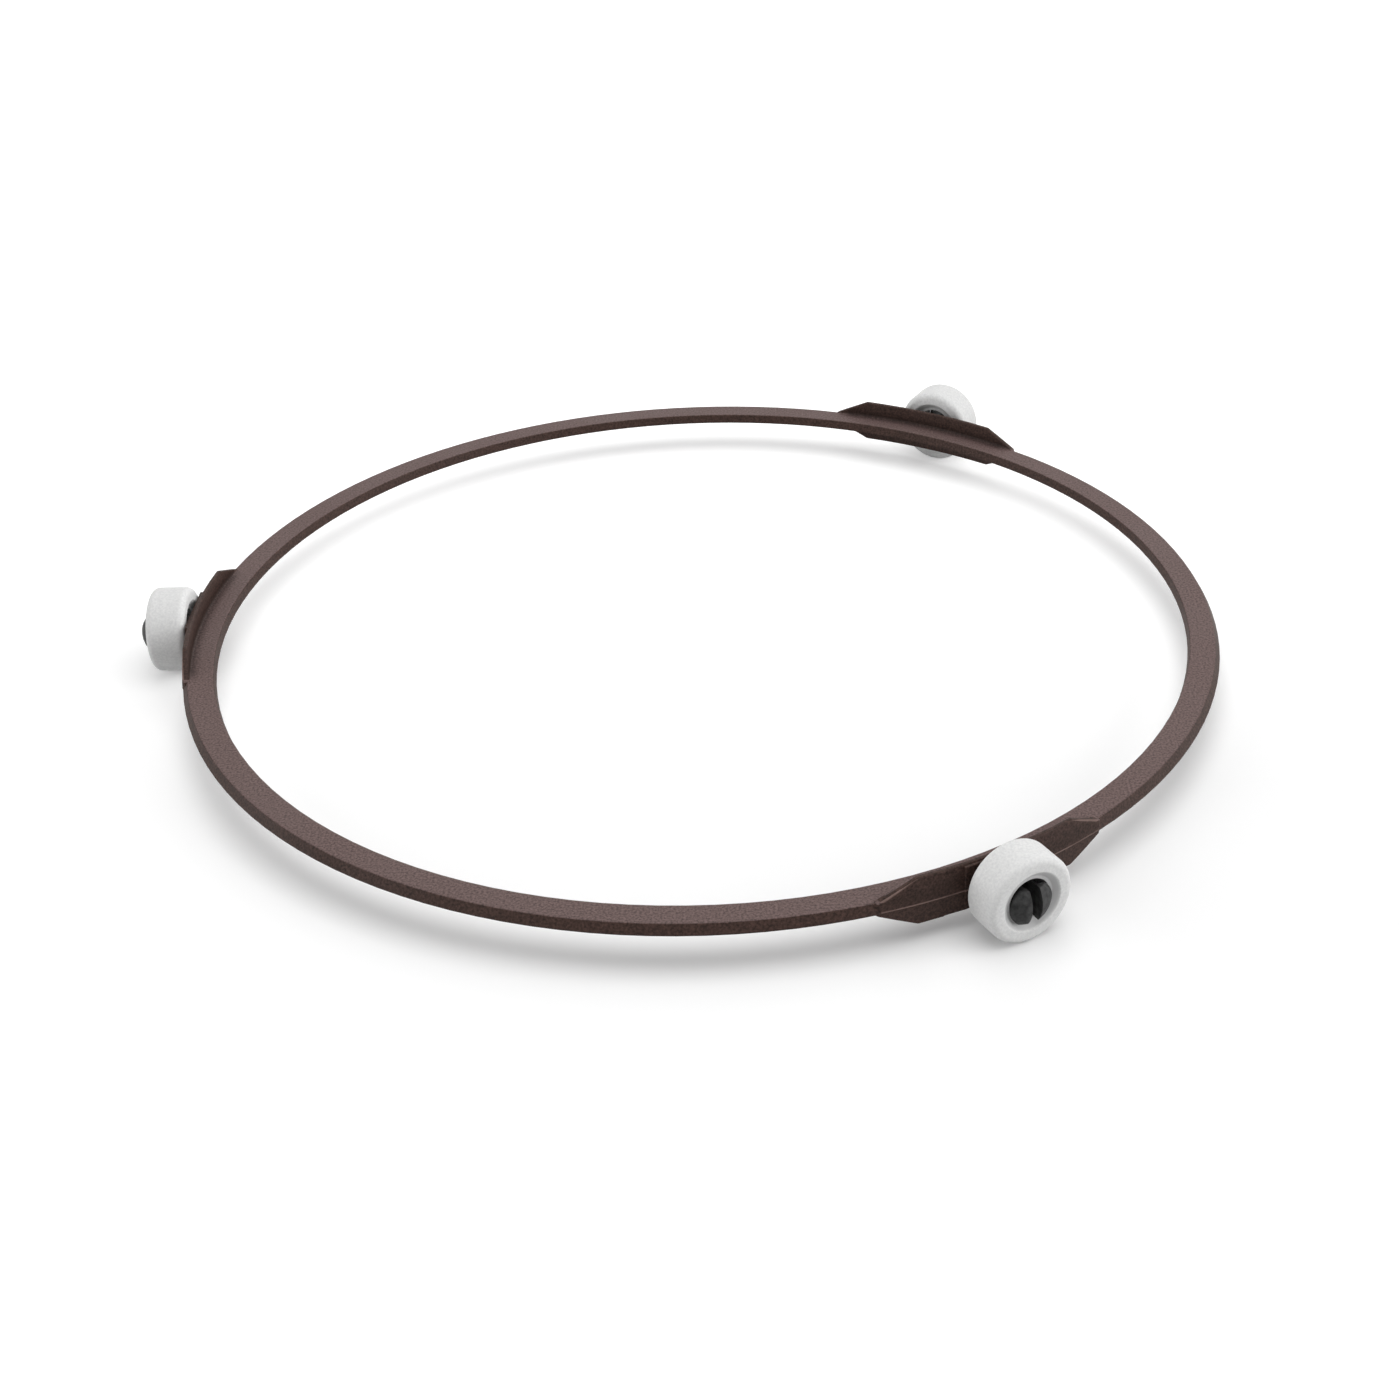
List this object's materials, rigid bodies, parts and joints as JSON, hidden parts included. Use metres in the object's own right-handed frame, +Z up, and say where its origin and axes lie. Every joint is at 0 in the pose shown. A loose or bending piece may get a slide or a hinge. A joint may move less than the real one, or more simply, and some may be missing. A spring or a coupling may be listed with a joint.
{
  "type": "microwave roller ring",
  "caption": "Thin moulded ring with upright arc pads whose split snap pins carry free-running rollers, which turn under a microwave oven's glass tray.",
  "frame": {"origin": "on the ring's axis, at the oven floor that the rollers stand on", "axes": "+Z up along the ring's axis; +X straight away from roller_3, half way between roller_1 and roller_2"},
  "size_m": [0.2121, 0.2018, 0.0164],
  "materials": {
    "brown_plastic": "fine matt, as moulded",
    "white_plastic": "smooth matt, as moulded"
  },
  "bodies": {
    "ring": {"ring": "brown_plastic"},
    "roller_1": {"roller_1": "white_plastic"},
    "roller_2": {"roller_2": "white_plastic"},
    "roller_3": {"roller_3": "white_plastic"}
  },
  "joints": [
    {"name": "roller_1_spin", "type": "hinge", "parent": "ring", "child": "roller_1", "pos_m": [0.05275, -0.09137, 0.0082], "axis": [0.5, -0.866, 0], "continuous": true},
    {"name": "roller_2_spin", "type": "hinge", "parent": "ring", "child": "roller_2", "pos_m": [0.05275, 0.09137, 0.0082], "axis": [0.5, 0.866, 0], "continuous": true},
    {"name": "roller_3_spin", "type": "hinge", "parent": "ring", "child": "roller_3", "pos_m": [-0.1055, 0, 0.0082], "axis": [-1, 0, 0], "continuous": true}
  ]
}
